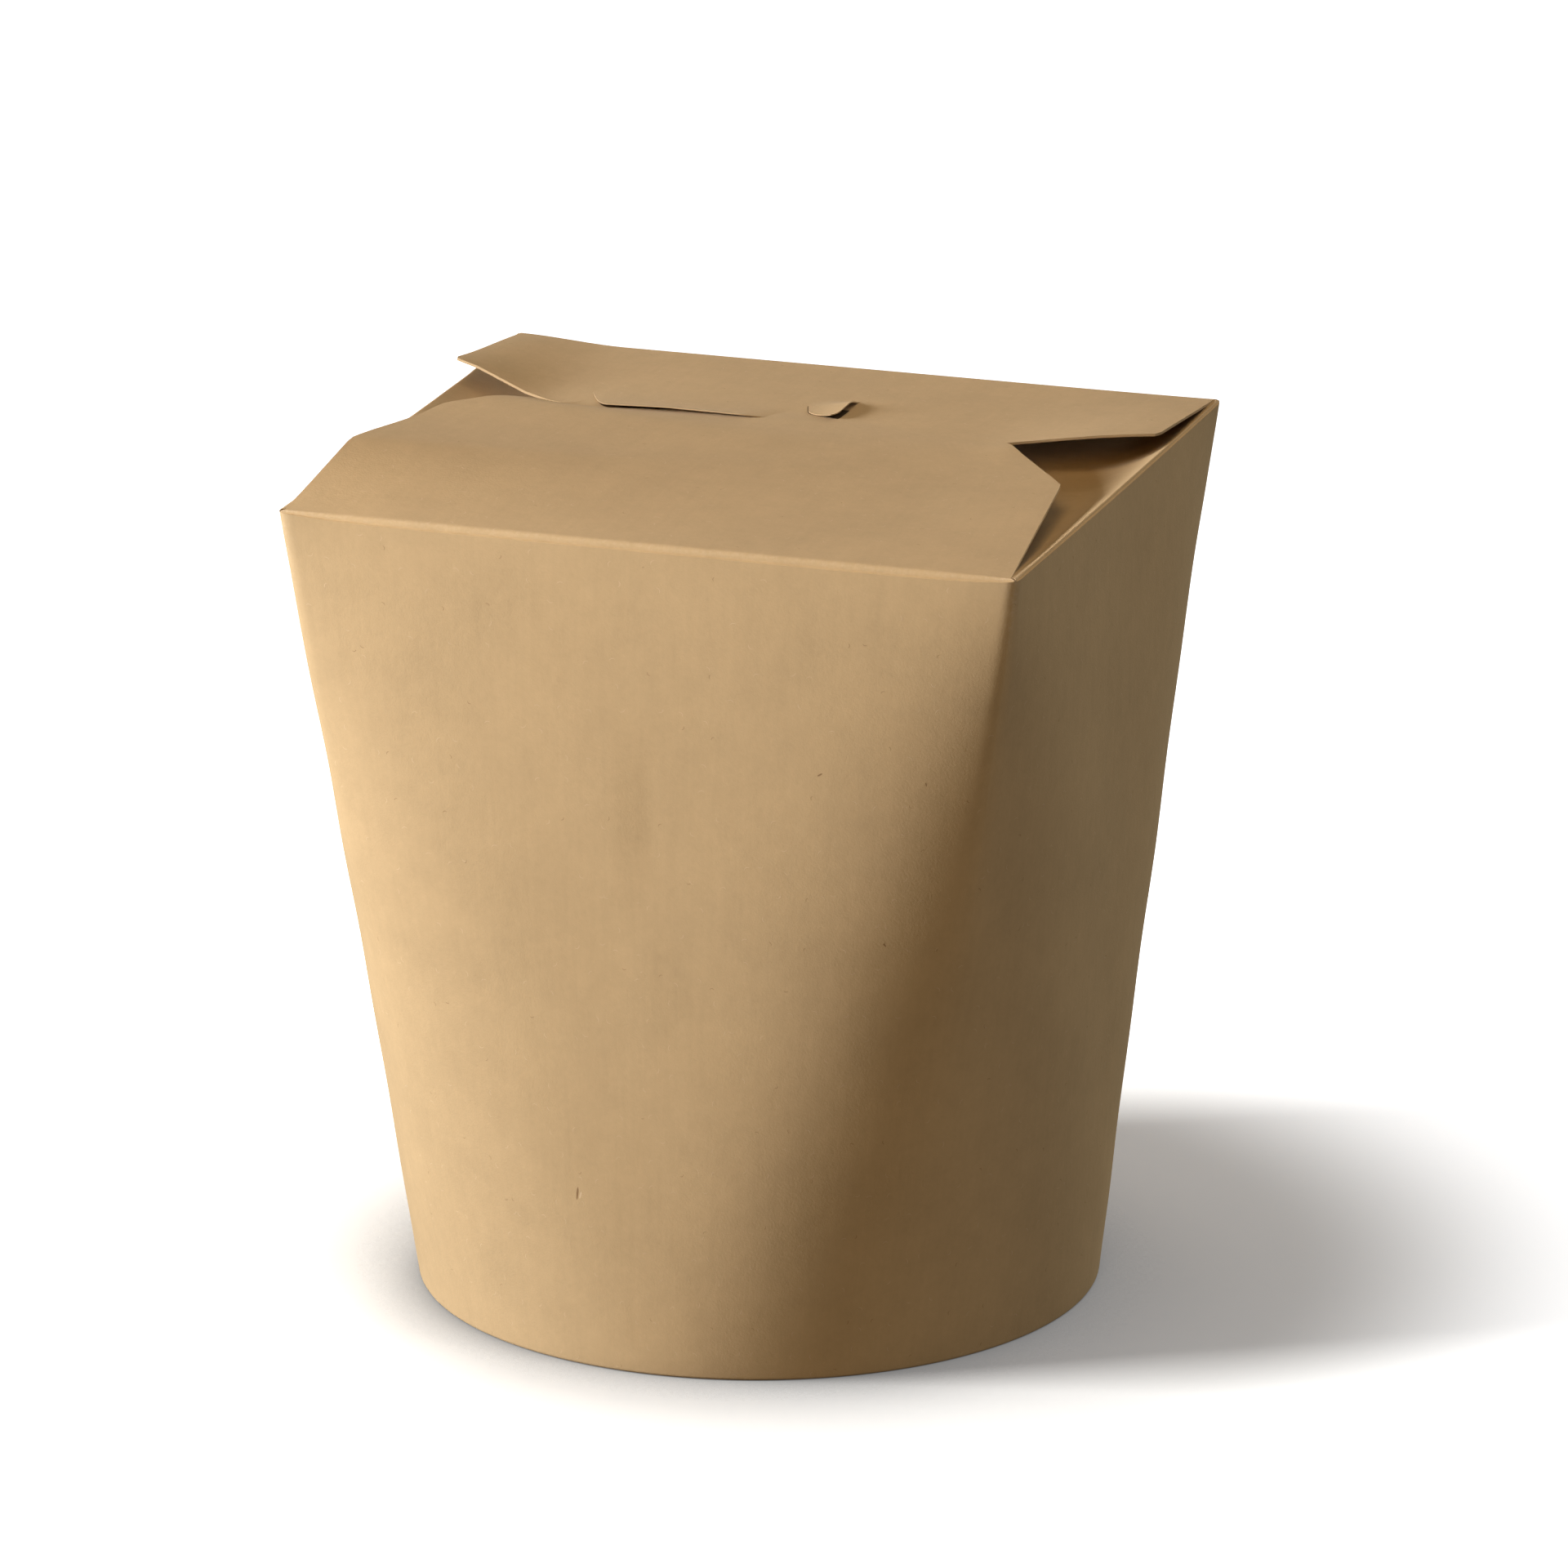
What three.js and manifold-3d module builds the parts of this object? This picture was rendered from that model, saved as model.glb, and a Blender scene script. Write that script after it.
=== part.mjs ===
// A plain kraft board noodle takeaway box, shut, with a round base and a rectangular folded top.
// Sizes are in millimetres. +Z is up, -Y is the front, and the origin is the centre of the base ring.
import * as THREE from "three";
import { mergeVertices } from "three/addons/utils/BufferGeometryUtils.js";
import Module from "manifold-3d";

// Driving dimensions of the body
const HEIGHT = 108.5; // from the base ring to the folds round the top
const TOP_WIDTH = 96; // between the two side folds
const TOP_DEPTH = 86; // between the front and back folds
const BASE_RADIUS = 44;
const BOARD = 0.45; // thickness of the folded board
const CORNER_FADE = 3; // the higher, the nearer to the top a corner stays round
const PANEL_FLATNESS = 2; // how fast the panels flatten on the way up
const FOLD_RADIUS = 0.8;

// Driving dimensions of the base
const RIM_HEIGHT = 3.6; // how far the base board sits above the floor
const RIM_WIDTH = 1.6; // three layers of board rolled together
const RIM_ROUND = 0.45;
const BASE_BOARD = 0.6;
const CLEARANCE = 0.3;

// Driving dimensions of the closure
const SIDE_DIP = 3.2; // how far the tucked side flaps sink towards the middle
const SIDE_DIP_RUN = { right: 9, left: 30 }; // the distance over which each of them sinks
const CORNER_DIP_RUN = 20;
const FRONT_RISE = 0.8; // the front flap climbs a little to lie on the back flap
const FRONT_BULGE = 4.8; // the front flap arches up off the box, most at its left edge
const BULGE_START = 28; // the arch begins this far to the right of the middle
const BULGE_RUN = 72; // and reaches its full height this far to the left of that
const BULGE_CLIMB = 15.5; // how far behind the front fold the arch is highest
const PRESSED_RUN = 7; // the last of the front flap comes down onto the back flap
const BACK_RISE = 0.4;
const BACK_CURL_RIGHT = 1.3;
const BACK_CURL_LEFT = 3.1;
const BACK_TIP_REACH = 24; // from the back fold to the back flap's two tips
const LIP_LIFT = 1.3; // the lip lies over the front flap's tongue
const HOOK_LIFT = 1.5;

// Mesh fineness
const HALF_PANEL_STEPS = 10;
const WALL_STEPS = 18;
const CAP_STEPS = 7;

const FRONT_FOLD = -TOP_DEPTH / 2;
const BACK_FOLD = TOP_DEPTH / 2;
const KRAFT = new THREE.Color().setRGB(0.76, 0.63, 0.47, THREE.SRGBColorSpace);

const { lerp, smoothstep, clamp } = THREE.MathUtils;

const wasm = await Module();
wasm.setup();

function toSolid(geometry) {
  const bare = geometry.clone();
  bare.deleteAttribute("normal");
  bare.deleteAttribute("uv");
  const merged = mergeVertices(bare, 1e-4);
  const mesh = new wasm.Mesh({
    numProp: 3,
    vertProperties: new Float32Array(merged.attributes.position.array),
    triVerts: new Uint32Array(merged.index.array),
  });
  return new wasm.Manifold(mesh);
}

function toGeometry(solid) {
  const mesh = solid.getMesh();
  const geometry = new THREE.BufferGeometry();
  geometry.setAttribute("position", new THREE.BufferAttribute(new Float32Array(mesh.vertProperties), 3));
  geometry.setIndex(new THREE.BufferAttribute(new Uint32Array(mesh.triVerts), 1));
  geometry.computeVertexNormals();
  return geometry;
}

// Skins a stack of closed rings of equal length, and closes both ends with a fan to a centre point.
function skin(rings, firstCentre, lastCentre) {
  const count = rings[0].length;
  const positions = rings.flat(2);
  const index = [];
  for (let k = 0; k < rings.length - 1; k++) {
    for (let i = 0; i < count; i++) {
      const a = k * count + i;
      const b = k * count + ((i + 1) % count);
      index.push(a, b, b + count, a, b + count, a + count);
    }
  }
  const bottom = rings.length * count;
  const top = bottom + 1;
  const last = (rings.length - 1) * count;
  positions.push(...firstCentre, ...lastCentre);
  for (let i = 0; i < count; i++) {
    const next = (i + 1) % count;
    index.push(bottom, next, i);
    index.push(top, last + i, last + next);
  }
  const geometry = new THREE.BufferGeometry();
  geometry.setAttribute("position", new THREE.Float32BufferAttribute(positions, 3));
  geometry.setIndex(index);
  return geometry;
}

// Half a panel, walked from its middle to its corner. The board turns by endTurn in all, and the turn
// reached at a share s of the way is endTurn times s to the power flatness.
function walkPanel(length, endTurn, flatness) {
  const fine = 20;
  const step = 1 / (HALF_PANEL_STEPS * fine);
  const points = [[0, 0]];
  let along = 0;
  let inward = 0;
  for (let i = 1; i <= HALF_PANEL_STEPS * fine; i++) {
    const turn = endTurn * ((i - 0.5) * step) ** flatness;
    along += length * step * Math.cos(turn);
    inward += length * step * Math.sin(turn);
    if (i % fine === 0) points.push([along, inward]);
  }
  return points;
}

// The wall's outline at a share t of the height, counter-clockwise from the middle of the front.
// At the base each half panel is an eighth of a circle. At the top it is half a straight fold, and
// what the board no longer turns by along the panels it turns by at once in the corner creases.
function outline(t) {
  const endTurn = (Math.PI / 4) * (1 - t ** CORNER_FADE);
  const flatness = 1 + PANEL_FLATNESS * (t + t * t);
  const eighth = (BASE_RADIUS * Math.PI) / 4;
  const front = walkPanel(lerp(eighth, TOP_WIDTH / 2, t), endTurn, flatness);
  const side = walkPanel(lerp(eighth, TOP_DEPTH / 2, t), endTurn, flatness);
  const [frontRun, frontSag] = front[HALF_PANEL_STEPS];
  const [sideRun, sideSag] = side[HALF_PANEL_STEPS];
  const halfWidth = frontRun + sideSag;
  const halfDepth = sideRun + frontSag;
  const frontHalf = front.map(([along, inward]) => [along, inward - halfDepth]);
  const sideHalf = side.map(([along, inward]) => [halfWidth - inward, -along]);
  const quarter = [...frontHalf, ...sideHalf.reverse().slice(1)];
  const right = [...quarter, ...quarter.slice(0, -1).reverse().map(([x, y]) => [x, -y])];
  const left = right.slice(1, -1).reverse().map(([x, y]) => [-x, y]);
  return [...right, ...left];
}

// The tucked side flaps, which sink away from their folds and from the corners.
function sideFlapHeight(x, y) {
  const run = x > 0 ? SIDE_DIP_RUN.right : SIDE_DIP_RUN.left;
  const fromSide = clamp((TOP_WIDTH / 2 - Math.abs(x)) / run, 0, 1);
  const fromCorner = clamp((TOP_DEPTH / 2 - Math.abs(y)) / CORNER_DIP_RUN, 0, 1);
  return HEIGHT - SIDE_DIP * (1 - (1 - fromSide) ** 2) * (1 - (1 - fromCorner) ** 2);
}

function makeBody() {
  const rings = [];
  const roundSteps = 3;
  for (let k = 0; k < roundSteps; k++) {
    const angle = (k / roundSteps) * (Math.PI / 2);
    const shrink = 1 - (RIM_ROUND * (1 - Math.sin(angle))) / BASE_RADIUS;
    const z = RIM_ROUND * (1 - Math.cos(angle));
    rings.push(outline(0).map(([x, y]) => [x * shrink, y * shrink, z]));
  }
  const foldStart = HEIGHT - FOLD_RADIUS;
  for (let k = 0; k <= WALL_STEPS; k++) {
    const z = lerp(RIM_ROUND, foldStart, 1 - (1 - k / WALL_STEPS) ** 1.35);
    rings.push(outline(z / HEIGHT).map(([x, y]) => [x, y, z]));
  }
  const topLine = outline(1);
  const halfTop = Math.min(TOP_WIDTH, TOP_DEPTH) / 2;
  for (let k = 1; k <= roundSteps; k++) {
    const angle = (k / roundSteps) * (Math.PI / 2);
    const inset = 1 - (FOLD_RADIUS * (1 - Math.cos(angle))) / halfTop;
    const z = foldStart + FOLD_RADIUS * Math.sin(angle);
    rings.push(topLine.map(([x, y]) => [x * inset, y * inset, z]));
  }
  const rimInset = 1 - FOLD_RADIUS / halfTop;
  for (let k = 1; k < CAP_STEPS; k++) {
    const share = rimInset * (1 - (k / CAP_STEPS) ** 1.3);
    rings.push(topLine.map(([x, y]) => [x * share, y * share, sideFlapHeight(x * share, y * share)]));
  }
  return skin(rings, [0, 0, 0], [0, 0, sideFlapHeight(0, 0)]);
}

// A thin sheet of board over a plan that runs row by row from startY to endY. Each row spans from
// left(y) to right(y), and height(x, y) gives the upper face. The lower face is one board lower.
function makeSheet({ startY, endY, left, right, height, across, rows }) {
  const upper = [];
  for (let j = 0; j <= rows; j++) {
    const y = lerp(startY, endY, j / rows);
    for (let i = 0; i <= across; i++) {
      const x = lerp(left(y), right(y), i / across);
      upper.push([x, y, height(x, y)]);
    }
  }
  const lower = upper.map(([x, y, z]) => [x, y, z - BOARD]);
  const size = upper.length;
  const width = across + 1;
  const index = [];
  const facesUp = endY > startY;
  const triangle = (a, b, c) => (facesUp ? index.push(a, b, c) : index.push(a, c, b));
  for (let j = 0; j < rows; j++) {
    for (let i = 0; i < across; i++) {
      const a = j * width + i;
      triangle(a, a + 1, a + width + 1);
      triangle(a, a + width + 1, a + width);
      triangle(size + a, size + a + width + 1, size + a + 1);
      triangle(size + a, size + a + width, size + a + width + 1);
    }
  }
  const wall = (a, b) => {
    triangle(a, size + b, b);
    triangle(a, size + a, size + b);
  };
  for (let i = 0; i < across; i++) {
    wall(i, i + 1);
    wall(rows * width + i + 1, rows * width + i);
  }
  for (let j = 0; j < rows; j++) {
    wall((j + 1) * width, j * width);
    wall(j * width + across, (j + 1) * width + across);
  }
  const geometry = new THREE.BufferGeometry();
  geometry.setAttribute("position", new THREE.Float32BufferAttribute([...upper, ...lower].flat(), 3));
  geometry.setIndex(index);
  return geometry;
}

// A value that runs straight between the given [y, value] stations.
function between(stations) {
  return (y) => {
    for (let i = 1; i < stations.length; i++) {
      const [y0, value0] = stations[i - 1];
      const [y1, value1] = stations[i];
      const inside = (y - y0) * (y - y1) <= 0;
      if (inside) return lerp(value0, value1, (y - y0) / (y1 - y0));
    }
    const last = stations[stations.length - 1];
    return Math.abs(y - last[0]) < Math.abs(y - stations[0][0]) ? last[1] : stations[0][1];
  };
}

// The front flap: its sides taper from the fold to two tips, then to a shallow tongue.
const FRONT_TIP = { x: 41.2, y: -3.2 };
const FRONT_SHOULDER = { x: 29.6, y: 12.6 };
const FRONT_TONGUE = { x: 4, y: 18.8 };
const FRONT_HALF_FOLD = 47.2;

// How the arch grows to the left and backwards, eases behind its highest line and falls at the far edge.
const ARCH = {
  growth: 1.25,
  climb: 1.15,
  ease: { by: 0.28, from: -28, to: -6 },
  fall: { by: 0.75, from: 2, to: 13 },
};
const PRESSED_HALF_WIDTH = { all: 30, none: 36 };

// How far along Y the flap goes at x, from its shoulders to its tongue.
function frontReach(x) {
  const slope = (FRONT_TONGUE.y - FRONT_SHOULDER.y) / (FRONT_SHOULDER.x - FRONT_TONGUE.x);
  return FRONT_SHOULDER.y + (FRONT_SHOULDER.x - Math.abs(x)) * slope;
}

// It climbs slowly to the back flap and arches up on its left, and its far edge lies on the back flap.
function frontHeight(x, y) {
  const share = (y - FRONT_FOLD) / (FRONT_TONGUE.y - FRONT_FOLD);
  const across = Math.max(0, (BULGE_START - x) / BULGE_RUN) ** ARCH.growth;
  const climb = clamp((y - FRONT_FOLD - FOLD_RADIUS / 2) / BULGE_CLIMB, 0, 1) ** ARCH.climb;
  const ease = 1 - ARCH.ease.by * smoothstep(y, ARCH.ease.from, ARCH.ease.to);
  const fall = 1 - ARCH.fall.by * smoothstep(y, ARCH.fall.from, ARCH.fall.to);
  const free = HEIGHT + FRONT_RISE * share + FRONT_BULGE * across * climb * ease * fall;
  const nearEdge = smoothstep(y - frontReach(x), -PRESSED_RUN, 0);
  const { all, none } = PRESSED_HALF_WIDTH;
  const pressed = nearEdge * (1 - smoothstep(Math.abs(x), all, none));
  return lerp(free, backHeight(x, y) + BOARD / 2, pressed);
}

function makeFrontFlap() {
  const halfWidth = between([
    [FRONT_FOLD, FRONT_HALF_FOLD],
    [FRONT_TIP.y, FRONT_TIP.x],
    [FRONT_SHOULDER.y, FRONT_SHOULDER.x],
    [FRONT_TONGUE.y, FRONT_TONGUE.x],
  ]);
  return makeSheet({
    startY: FRONT_FOLD + FOLD_RADIUS / 2,
    endY: FRONT_TONGUE.y,
    left: (y) => -halfWidth(y),
    right: halfWidth,
    height: frontHeight,
    across: 22,
    rows: 24,
  });
}

// The back flap: its ends run straight in from the fold to two raised tips, and its front edge
// slopes from them to the middle, where it lies under the front flap.
const BACK_HALF_FOLD = 47.3;
const BACK_TIP_X = 47.1;
const BACK_MIDDLE = { x: 29.3, y: 12.4 };
const BACK_UNDER = { x: 24, y: 8 };
const CURL_FROM = { right: 24, left: 33 };
const CURL_TO = { right: 47, left: 49 };

function backHeight(x, y) {
  const share = (BACK_FOLD - y) / BACK_TIP_REACH;
  const right = BACK_CURL_RIGHT * smoothstep(x, CURL_FROM.right, CURL_TO.right);
  const left = BACK_CURL_LEFT * smoothstep(-x, CURL_FROM.left, CURL_TO.left);
  return HEIGHT + share * (BACK_RISE + right + left);
}

function makeBackFlap() {
  const halfWidth = between([
    [BACK_FOLD, BACK_HALF_FOLD],
    [BACK_FOLD - BACK_TIP_REACH, BACK_TIP_X],
    [BACK_MIDDLE.y, BACK_MIDDLE.x],
    [BACK_UNDER.y, BACK_UNDER.x],
  ]);
  return makeSheet({
    startY: BACK_FOLD - FOLD_RADIUS / 2,
    endY: BACK_UNDER.y,
    left: (y) => -halfWidth(y),
    right: halfWidth,
    height: backHeight,
    across: 28,
    rows: 14,
  });
}

// The lock: a lip of the back flap lies over the front flap's tongue, and a small hook stands beside it.
const LIP = { startY: 14.1, cornerY: 18.6, endY: 27, left: -29, startLeft: -25.2, right: -1.6 };
const HOOK = { startY: 16.4, endY: 25.5, left: 0.6, right: 5.2 };

function blendedHeight(lift, startY, endY) {
  return (x, y) => {
    const share = smoothstep(y, startY, endY);
    return lerp(HEIGHT + lift, backHeight(x, y) + BOARD / 4, share);
  };
}

function makeLip() {
  return makeSheet({
    startY: LIP.endY,
    endY: LIP.startY,
    left: between([
      [LIP.endY, LIP.left],
      [LIP.cornerY, LIP.left],
      [LIP.startY, LIP.startLeft],
    ]),
    right: () => LIP.right,
    height: blendedHeight(LIP_LIFT, LIP.startY, LIP.endY),
    across: 10,
    rows: 8,
  });
}

function makeHook() {
  return makeSheet({
    startY: HOOK.endY,
    endY: HOOK.startY,
    left: () => HOOK.left,
    right: () => HOOK.right,
    height: blendedHeight(HOOK_LIFT, HOOK.startY, HOOK.endY),
    across: 4,
    rows: 5,
  });
}

// The round hollow that the rolled rim leaves under the base.
function makeHollow() {
  const radius = BASE_RADIUS - RIM_WIDTH;
  const below = 1;
  const depth = RIM_HEIGHT + BASE_BOARD + CLEARANCE;
  const hollow = new THREE.CylinderGeometry(radius, radius, depth + below, 8 * HALF_PANEL_STEPS);
  hollow.rotateX(Math.PI / 2);
  hollow.translate(0, 0, (depth - below) / 2);
  return hollow;
}

function makeBaseBoard() {
  const radius = BASE_RADIUS - RIM_WIDTH - CLEARANCE;
  const disc = new THREE.CylinderGeometry(radius, radius, BASE_BOARD, 8 * HALF_PANEL_STEPS);
  disc.rotateX(Math.PI / 2);
  disc.translate(0, 0, RIM_HEIGHT + BASE_BOARD / 2);
  return disc;
}

function kraftMesh(name, geometry, shade) {
  const material = new THREE.MeshStandardMaterial({
    color: KRAFT.clone().multiplyScalar(shade),
    roughness: 0.85,
    metalness: 0,
  });
  const mesh = new THREE.Mesh(geometry, material);
  mesh.name = name;
  return mesh;
}

const flaps = [makeFrontFlap(), makeBackFlap(), makeLip(), makeHook()];
let carton = toSolid(makeBody());
for (const flap of flaps) carton = carton.add(toSolid(flap));
carton = carton.subtract(toSolid(makeHollow()));

const box = new THREE.Group();
box.add(kraftMesh("carton", toGeometry(carton), 1));
box.add(kraftMesh("base_board", makeBaseBoard(), 0.96));

export default box;
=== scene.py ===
"""A shut kraft board noodle takeaway box with a round base and a rectangular, folded and locked top.

Shapes are worked out in millimetres on numpy grids, and go into their meshes in metres. +Z is up, -Y is
the front, and the origin is the centre of the ring that the box stands on.
"""
import math

import bmesh
import bpy
import numpy as np
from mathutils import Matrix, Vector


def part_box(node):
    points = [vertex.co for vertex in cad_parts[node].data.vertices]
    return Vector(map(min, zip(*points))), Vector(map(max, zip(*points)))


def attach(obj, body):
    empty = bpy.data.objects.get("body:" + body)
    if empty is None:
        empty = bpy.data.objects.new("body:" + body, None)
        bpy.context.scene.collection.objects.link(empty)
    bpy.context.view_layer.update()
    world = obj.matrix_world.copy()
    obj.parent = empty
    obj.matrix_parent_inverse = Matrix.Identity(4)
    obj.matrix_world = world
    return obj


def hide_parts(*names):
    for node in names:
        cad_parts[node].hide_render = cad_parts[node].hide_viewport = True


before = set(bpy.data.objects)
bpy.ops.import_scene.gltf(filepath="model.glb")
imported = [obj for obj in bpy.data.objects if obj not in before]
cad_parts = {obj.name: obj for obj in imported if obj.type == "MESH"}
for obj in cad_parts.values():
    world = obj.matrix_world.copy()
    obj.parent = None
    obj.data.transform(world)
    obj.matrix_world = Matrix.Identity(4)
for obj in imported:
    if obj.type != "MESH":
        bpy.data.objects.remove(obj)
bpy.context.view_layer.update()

MM = 0.001

# Driving dimensions of the body, in millimetres
HEIGHT = 108.5
TOP_WIDTH = 96.0
TOP_DEPTH = 86.0
BASE_RADIUS = 44.0
BOARD = 0.32
CRUSHED_SHARE = 0.4
CORNER_FADE = 3.0
PANEL_FLATNESS = 2.0
CREASE_RUN_TOP = 0.9
CREASE_RUN_BASE = 3.0
CREASE_EASE_IN = 1.6
CREASE_EASE_OUT = 0.6
UNEVENNESS = 0.1
UNEVEN_SEED = 3

# The folds round the top, each softest in its middle, and the pale wear along them
CORNER_FOLD_RADIUS = 0.3
FOLD_RADIUS = {"front": 0.95, "right": 0.5, "back": 0.8, "left": 0.6}
SIDE_FOLD_TAPER = 1.5
LONG_FOLD_TAPER = 8
LONG_FOLD_WEAR = 0.3
SIDE_FOLD_WEAR = 0.03
CORNER_WEAR_REACH = 2.2
CREASE_WEAR = 0.5
CREASE_WEAR_REACH = 3.0
CREASE_WEAR_FROM = 0.86

# The rolled rim under the base
RIM_WIDTH = 1.6
RIM_ROUND = 0.45
HEM_TOP = 4.6
HEM_PLEATS = 64
HEM_PLEAT_DEPTH = 0.07
HEM_PLEAT_CHANCE = 0.6

# The base disc, as shares of its own radius and thickness, and its slow unevenness
DISC_EDGE_FROM = 0.985
DISC_EDGE_ROUND = 0.5
DISC_UNEVENNESS = 0.05
DISC_SEED = 11

# The glued lap, a vertical step of one board on the left wall near the back
LAP_SHARE = 0.78
LAP_RUN = 14.0

# The closure. A span is where a smooth climb starts and ends
SIDE_DIP = 3.2
SIDE_DIP_RUN_RIGHT = 9.0
SIDE_DIP_RUN_LEFT = 30.0
CORNER_DIP_RUN = 20.0
FRONT_RISE = 0.8
FRONT_BULGE = 4.8
BACK_RISE = 0.4
BACK_CURL_RIGHT = 1.3
BACK_CURL_RIGHT_SPAN = (24, 47)
BACK_CURL_LEFT = 3.1
BACK_CURL_LEFT_SPAN = (33, 49)
BACK_TIP_REACH = 24.0
BACK_CORNER_LIFT = 0.6
BACK_CORNER_X_SPAN = (33, 47)
BACK_CORNER_Y_SPAN = (22, 43)
FLUSH = 0.05
SUNK = 0.012

# The front flap's arch: where it starts across the flap and how it grows, climbs, sags and falls
ARCH_START = 28.0
ARCH_RUN = 72.0
ARCH_GROWTH = 1.25
ARCH_FOOT = -42.5
ARCH_CLIMB = 15.5
ARCH_CLIMB_SPREAD = 0.35
ARCH_CLIMB_POWER = 1.15
ARCH_SAG, ARCH_SAG_SPAN = 0.28, (-28, -6)
ARCH_FALL, ARCH_FALL_SPAN = 0.75, (2, 13)

# The front flap's far edge runs from a shoulder to the tongue, and is pressed down along that line
SHOULDER_X, SHOULDER_Y = 29.6, 12.6
TONGUE_X, TONGUE_Y = 4.0, 18.8
PRESSED_SPAN = (-8, -0.8)
PRESSED_HALF_WIDTH_SPAN = (33, 28.5)

# How far each flap goes, as (distance from its own fold, left end, right end) along the fold
FRONT_PLAN = [
    (0, -47.5, 47.3),
    (39.8, -41.2, 41.2),
    (55.6, -29.6, 29.1),
    (58.5, -28.4, 16),
    (61.8, -24, 4),
]
BACK_PLAN = [(0, -47.4, 47.4), (24, -47.1, 47.9), (30.6, -29.3, 29.3), (35, -24, 24)]
SIDE_PLAN = [(0, -42.6, 42.6), (30, -37, 37), (36, -30, 30)]
TIP_ROUND = 0.5

# The lock: a lip of the back flap over the front flap's tongue, and a small tab beside it. The lip's
# spans are distances from its own ends, and the tab's edges are (share of the way, x, y)
LIP_LEFT, LIP_RIGHT, LIP_BACK = -29.0, -0.9, 27.0
LIP_CUT = 14.9
LIP_CUT_SLANT = 0.6
LIP_CUT_BOW = 2.6
LIP_END_CURVE = 4.4
LIP_END_CURVE_RUN = 4.2
LIP_END_CURVE_POWER = 1.7
LIP_FREE_LEFT = (-0.5, 5.0)
LIP_FREE_RIGHT = (0.5, -6.0)
LIP_LIFT = 0.95
LIP_LIFT_LEFT_SHARE = 0.6
LIP_LIFT_SPAN = (2.0, 14.0)
TAB_LEFT = [(0, -1.0, 26.0), (0.5, -0.5, 21.5), (0.85, 0.7, 18.0), (1, 2.2, 17.0)]
TAB_RIGHT = [(0, 4.9, 26.5), (0.4, 5.0, 22.5), (0.85, 5.1, 16.6), (1, 4.3, 15.7)]
TAB_BACK = 26.0
TAB_EDGE_ROUND = 0.08
TAB_LIFT_LEFT = 0.35
TAB_LIFT_RIGHT = 1.2
TAB_END_DROP = 0.3
CUT_EDGE_WEAR = 0.3
# Painted shade in the lock: where the near-black sheets under the lip and the tab lie, how far above the
# flap they sit, and how far they run
SLIT_ABOVE = 0.03
LIP_SLIT_ENDS = (1.2, -2.5)
LIP_SLIT_BEHIND_CUT = 0.1
LIP_SLIT_DEPTH = 2.6
TAB_SLIT_START = 0.5
TAB_SLIT_LEFT, TAB_SLIT_RIGHT = -0.12, 0.15

# Mesh fineness
HALF_PANEL_STEPS = 34
WALK_STEPS = 6
CROWD_TO_CORNER = 1.6
CROWD_TO_TOP = 1.35
WALL_ROWS = 84
HEM_ROWS = 6
RIM_STEPS = 5
FOLD_ROWS = 10
FOLD_WALK_STEPS = 12
LIP_GRID = (25, 71)
TAB_GRID = (21, 19)
LIP_SLIT_GRID = (6, 61)
TAB_SLIT_GRID = (15, 9)
DISC_STEPS = 128
SHARP_EDGE = math.radians(38)
SHARP_DISC_EDGE = math.radians(50)

FRONT, RIGHT, BACK, LEFT = range(4)
RING = 8 * HALF_PANEL_STEPS
PANEL = 2 * HALF_PANEL_STEPS
rng = np.random.default_rng(7)


def ramp(low, high, x):
    """0 below low, 1 above high and a smooth S between them."""
    t = np.clip((x - low) / (high - low), 0, 1)
    return t * t * (3 - 2 * t)


def lerp(a, b, t):
    """a where t is 0, b where it is 1, and a straight line between them."""
    return a + (b - a) * t


def half_panel(length, end_turn, flatness, crease_run):
    """Half a panel for each height, walked from its middle to its corner.

    The board turns by end_turn times s ** flatness over the share s of the way. What is left of an
    eighth of a turn comes in the crease: a smooth S that starts CREASE_EASE_IN crease runs before the
    corner and would end CREASE_EASE_OUT runs past it.
    """
    share = 1 - (1 - np.linspace(0, 1, HALF_PANEL_STEPS * WALK_STEPS + 1)) ** CROWD_TO_CORNER
    middle = (share[1:] + share[:-1]) / 2
    step = np.diff(share) * length[:, None]
    crease_start = 1 - CREASE_EASE_IN * crease_run / length
    crease_end = 1 + CREASE_EASE_OUT * crease_run / length
    crease = ramp(crease_start, crease_end, middle[:, None]).T
    turn = end_turn[:, None] * middle ** flatness[:, None] + (np.pi / 4 - end_turn[:, None]) * crease
    zero = np.zeros((len(length), 1))
    along = np.hstack([zero, np.cumsum(step * np.cos(turn), axis=1)])[:, ::WALK_STEPS]
    inward = np.hstack([zero, np.cumsum(step * np.sin(turn), axis=1)])[:, ::WALK_STEPS]
    return along, inward


def outline(t):
    """The wall's outline at shares t of the height: x and y, one row for each t and RING columns.

    It runs counter-clockwise from the middle of the front. At the base it is a circle, and at the top
    four straight folds with the whole quarter turn in each corner crease.
    """
    end_turn = np.pi / 4 * (1 - t**CORNER_FADE)
    flatness = 1 + PANEL_FLATNESS * (t + t * t)
    crease_run = lerp(CREASE_RUN_BASE, CREASE_RUN_TOP, t)
    eighth = BASE_RADIUS * np.pi / 4
    front_run, front_in = half_panel(lerp(eighth, TOP_WIDTH / 2, t), end_turn, flatness, crease_run)
    side_run, side_in = half_panel(lerp(eighth, TOP_DEPTH / 2, t), end_turn, flatness, crease_run)
    half_width = front_run[:, -1:] + side_in[:, -1:]
    half_depth = side_run[:, -1:] + front_in[:, -1:]
    x = np.hstack([front_run, (half_width - side_in)[:, -2::-1]])
    y = np.hstack([front_in - half_depth, -side_run[:, -2::-1]])
    x = np.hstack([x, x[:, -2::-1]])
    y = np.hstack([y, -y[:, -2::-1]])
    x = np.hstack([x, -x[:, -2:0:-1]])
    y = np.hstack([y, y[:, -2:0:-1]])
    return x, y


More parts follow.
